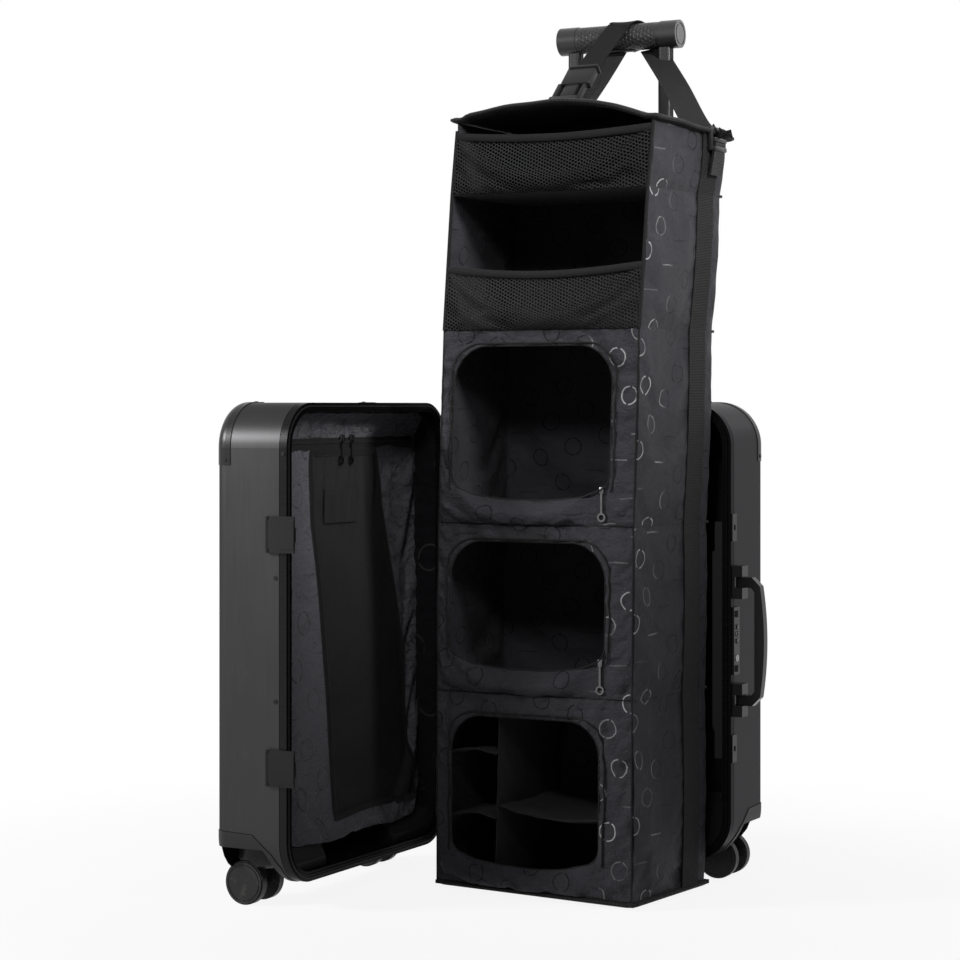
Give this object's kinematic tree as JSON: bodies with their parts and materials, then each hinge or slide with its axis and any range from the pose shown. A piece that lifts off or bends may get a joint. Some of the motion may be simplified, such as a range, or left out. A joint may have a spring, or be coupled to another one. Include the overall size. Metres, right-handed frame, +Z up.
{
  "type": "carry-on suitcase",
  "caption": "Hard clamshell cabin case, open on its caster wheels, with a telescopic handle that carries a collapsible hanging closet.",
  "frame": {"origin": "on the floor, under the middle of the box round the open suitcase with its handle raised", "axes": "+Z up; +X from the hinge side of the rear half to its lock side; +Y from the rear half's rim to its back"},
  "size_m": [0.5056, 0.4875, 1.0216],
  "materials": {
    "shell": "satin anodised graphite grey, fine brushed grain",
    "rim": "satin anodised dark grey, bright worn edge",
    "guard": "satin black, edges slightly rubbed",
    "housing": "fine-grained moulded black",
    "hinge": "satin black",
    "lining": "thin charcoal woven polyester",
    "tube_outer": "dark anodised",
    "tube_mid": "dark anodised, drawn lines",
    "tube_inner": "dark anodised, drawn lines",
    "bezel": "moulded black",
    "grip": "black, dimpled in the middle",
    "button": "satin dark grey",
    "lock": "satin black",
    "dial": "black with pale plain figures",
    "key": "brushed",
    "handle": "satin black moulded",
    "gasket": "black seal",
    "latch": "satin dark grey",
    "mesh": "black mesh and binding",
    "pull": "dark nickel",
    "fork": "moulded black",
    "wheel": "soft black tread, satin side",
    "closet": "coated charcoal nylon with a tone-on-tone print of rings and dashes",
    "board": "stiffened black nylon, bound edge",
    "webbing": "woven black webbing",
    "buckle": "moulded black"
  },
  "bodies": {
    "rear_case": {"rear_shell": "shell", "rear_frame": "rim", "rear_guards": "guard", "rear_housings": "housing", "rear_hinge_leaves": "hinge", "rear_lining": "lining", "handle_tubes_outer": "tube_outer", "handle_bezel": "bezel", "lock_housing": "lock", "lock_cover": "bezel", "strike_plates": "latch", "carry_brackets": "guard", "closet_floor": "board", "closet_walls_5": "closet"},
    "lid": {"front_shell": "shell", "front_frame": "rim", "front_gasket": "gasket", "front_guards": "guard", "front_housings": "housing", "front_hinge_leaves": "hinge", "front_lining": "lining", "front_divider": "mesh", "latch_bases": "guard"},
    "latch_upper": {"latch_upper": "latch"},
    "latch_lower": {"latch_lower": "latch"},
    "divider_pull_1": {"divider_pull_1": "pull"},
    "divider_pull_2": {"divider_pull_2": "pull"},
    "handle_stage_mid": {"handle_tubes_mid": "tube_mid"},
    "handle_stage_inner": {"handle_tubes_inner": "tube_inner", "grip": "grip", "grip_strap": "webbing"},
    "grip_release": {"grip_release": "button"},
    "carry_handle": {"carry_handle": "handle"},
    "dial_1": {"dial_1": "dial"},
    "dial_2": {"dial_2": "dial"},
    "dial_3": {"dial_3": "dial"},
    "key_cylinder": {"key_cylinder": "key"},
    "lock_button_upper": {"lock_button_upper": "button"},
    "lock_button_lower": {"lock_button_lower": "button"},
    "closet_level_4": {"closet_shelf_4": "board", "closet_walls_4": "closet"},
    "closet_level_3": {"closet_shelf_3": "board", "closet_walls_3": "closet"},
    "closet_level_2": {"closet_shelf_2": "board", "closet_walls_2": "closet"},
    "closet_level_1": {"closet_shelf_1": "board", "closet_walls_1": "closet"},
    "closet_top": {"closet_top": "board", "hang_straps": "webbing", "strap_buckle": "buckle"},
    "zip_pull_3": {"zip_pull_3": "pull"},
    "zip_pull_4": {"zip_pull_4": "pull"},
    "caster_rear_far": {"caster_rear_far": "fork"},
    "wheels_rear_far": {"wheels_rear_far": "wheel"},
    "caster_rear_near": {"caster_rear_near": "fork"},
    "wheels_rear_near": {"wheels_rear_near": "wheel"},
    "caster_front_far": {"caster_front_far": "fork"},
    "wheels_front_far": {"wheels_front_far": "wheel"},
    "caster_front_near": {"caster_front_near": "fork"},
    "wheels_front_near": {"wheels_front_near": "wheel"}
  },
  "joints": [
    {"name": "lid_swing", "type": "hinge", "parent": "rear_case", "child": "lid", "pos_m": [-0.15525, 0.1358, 0.29], "axis": [0, 0, 1], "range_deg": [-90, 18]},
    {"name": "latch_upper_flip", "type": "hinge", "parent": "lid", "child": "latch_upper", "pos_m": [-0.17755, -0.2378, 0.415], "axis": [0, 0, 1], "range_deg": [-100, 0]},
    {"name": "latch_lower_flip", "type": "hinge", "parent": "lid", "child": "latch_lower", "pos_m": [-0.17755, -0.2378, 0.16], "axis": [0, 0, 1], "range_deg": [-100, 0]},
    {"name": "divider_pull_1_swing", "type": "hinge", "parent": "lid", "child": "divider_pull_1", "pos_m": [-0.19185, -0.0352, 0.517], "axis": [0, 1, 0], "range_deg": [-75, 0]},
    {"name": "divider_pull_2_swing", "type": "hinge", "parent": "lid", "child": "divider_pull_2", "pos_m": [-0.19185, -0.0572, 0.517], "axis": [0, 1, 0], "range_deg": [-75, 0]},
    {"name": "handle_mid_slide", "type": "slide", "parent": "rear_case", "child": "handle_stage_mid", "axis": [0, 0, 1], "range_m": [-0.21, 0]},
    {"name": "handle_inner_slide", "type": "slide", "parent": "handle_stage_mid", "child": "handle_stage_inner", "axis": [0, 0, 1], "range_m": [-0.21, 0]},
    {"name": "grip_release_press", "type": "slide", "parent": "handle_stage_inner", "child": "grip_release", "axis": [0, 0, 1], "range_m": [0, 0.003], "stiffness_N_per_m": 500, "springref_m": -0.001},
    {"name": "carry_fold", "type": "hinge", "parent": "rear_case", "child": "carry_handle", "pos_m": [0.2218, 0.1478, 0.284], "axis": [0, 0, 1], "range_deg": [0, 88]},
    {"name": "dial_1_turn", "type": "hinge", "parent": "rear_case", "child": "dial_1", "pos_m": [0.21225, 0.1478, 0.3001], "axis": [0, 0, 1], "continuous": true},
    {"name": "dial_2_turn", "type": "hinge", "parent": "rear_case", "child": "dial_2", "pos_m": [0.21225, 0.1478, 0.292], "axis": [0, 0, 1], "continuous": true},
    {"name": "dial_3_turn", "type": "hinge", "parent": "rear_case", "child": "dial_3", "pos_m": [0.21225, 0.1478, 0.2839], "axis": [0, 0, 1], "continuous": true},
    {"name": "key_turn", "type": "hinge", "parent": "rear_case", "child": "key_cylinder", "pos_m": [0.21475, 0.1478, 0.264], "axis": [1, 0, 0], "range_deg": [0, 90]},
    {"name": "lock_button_upper_press", "type": "slide", "parent": "rear_case", "child": "lock_button_upper", "axis": [1, 0, 0], "range_m": [-0.0014, 0], "stiffness_N_per_m": 300, "springref_m": 0.0008},
    {"name": "lock_button_lower_press", "type": "slide", "parent": "rear_case", "child": "lock_button_lower", "axis": [1, 0, 0], "range_m": [-0.0014, 0], "stiffness_N_per_m": 300, "springref_m": 0.0008},
    {"name": "swivel_rear_far", "type": "hinge", "parent": "rear_case", "child": "caster_rear_far", "pos_m": [-0.09925, 0.2068, 0.068], "axis": [0, 0, 1], "continuous": true},
    {"name": "roll_rear_far", "type": "hinge", "parent": "caster_rear_far", "child": "wheels_rear_far", "pos_m": [-0.08725, 0.2068, 0.0245], "axis": [0, 1, 0], "continuous": true},
    {"name": "swivel_rear_near", "type": "hinge", "parent": "rear_case", "child": "caster_rear_near", "pos_m": [0.16475, 0.2068, 0.068], "axis": [0, 0, 1], "continuous": true},
    {"name": "roll_rear_near", "type": "hinge", "parent": "caster_rear_near", "child": "wheels_rear_near", "pos_m": [0.17675, 0.2068, 0.0245], "axis": [0, 1, 0], "continuous": true},
    {"name": "swivel_front_far", "type": "hinge", "parent": "lid", "child": "caster_front_far", "pos_m": [-0.21625, 0.0798, 0.068], "axis": [0, 0, 1], "continuous": true},
    {"name": "roll_front_far", "type": "hinge", "parent": "caster_front_far", "child": "wheels_front_far", "pos_m": [-0.22825, 0.0798, 0.0245], "axis": [0, 1, 0], "continuous": true},
    {"name": "swivel_front_near", "type": "hinge", "parent": "lid", "child": "caster_front_near", "pos_m": [-0.21625, -0.1842, 0.068], "axis": [0, 0, 1], "continuous": true},
    {"name": "roll_front_near", "type": "hinge", "parent": "caster_front_near", "child": "wheels_front_near", "pos_m": [-0.22825, -0.1842, 0.0245], "axis": [0, 1, 0], "continuous": true},
    {"name": "level_4_drop", "type": "slide", "parent": "rear_case", "child": "closet_level_4", "axis": [0, 0, 1], "range_m": [-0.08423, 0], "deforming": ["closet_walls_5"]},
    {"name": "level_3_drop", "type": "slide", "parent": "closet_level_4", "child": "closet_level_3", "axis": [0, 0, 1], "range_m": [-0.07254, 0], "deforming": ["closet_walls_4"]},
    {"name": "level_2_drop", "type": "slide", "parent": "closet_level_3", "child": "closet_level_2", "axis": [0, 0, 1], "range_m": [-0.0831, 0], "deforming": ["closet_walls_3"]},
    {"name": "level_1_drop", "type": "slide", "parent": "closet_level_2", "child": "closet_level_1", "axis": [0, 0, 1], "range_m": [-0.05896, 0], "deforming": ["closet_walls_2"]},
    {"name": "top_drop", "type": "slide", "parent": "closet_level_1", "child": "closet_top", "axis": [0, 0, 1], "range_m": [-0.02766, 0], "deforming": ["closet_walls_1", "hang_straps"]},
    {"name": "zip_pull_3_swing", "type": "hinge", "parent": "closet_level_3", "child": "zip_pull_3", "pos_m": [0.13291, -0.0408, 0.461], "axis": [1, 0, 0], "range_deg": [-75, 0]},
    {"name": "zip_pull_4_swing", "type": "hinge", "parent": "closet_level_4", "child": "zip_pull_4", "pos_m": [0.13101, -0.0408, 0.27], "axis": [1, 0, 0], "range_deg": [-75, 0]}
  ],
  "couplings": [
    {"joint": "handle_inner_slide", "follows": "handle_mid_slide", "ratio": 1},
    {"joint": "level_4_drop", "follows": "handle_mid_slide", "ratio": 0.39874},
    {"joint": "level_3_drop", "follows": "handle_mid_slide", "ratio": 0.34306},
    {"joint": "level_2_drop", "follows": "handle_mid_slide", "ratio": 0.39335},
    {"joint": "level_1_drop", "follows": "handle_mid_slide", "ratio": 0.2784},
    {"joint": "top_drop", "follows": "handle_mid_slide", "ratio": 0.12932}
  ]
}
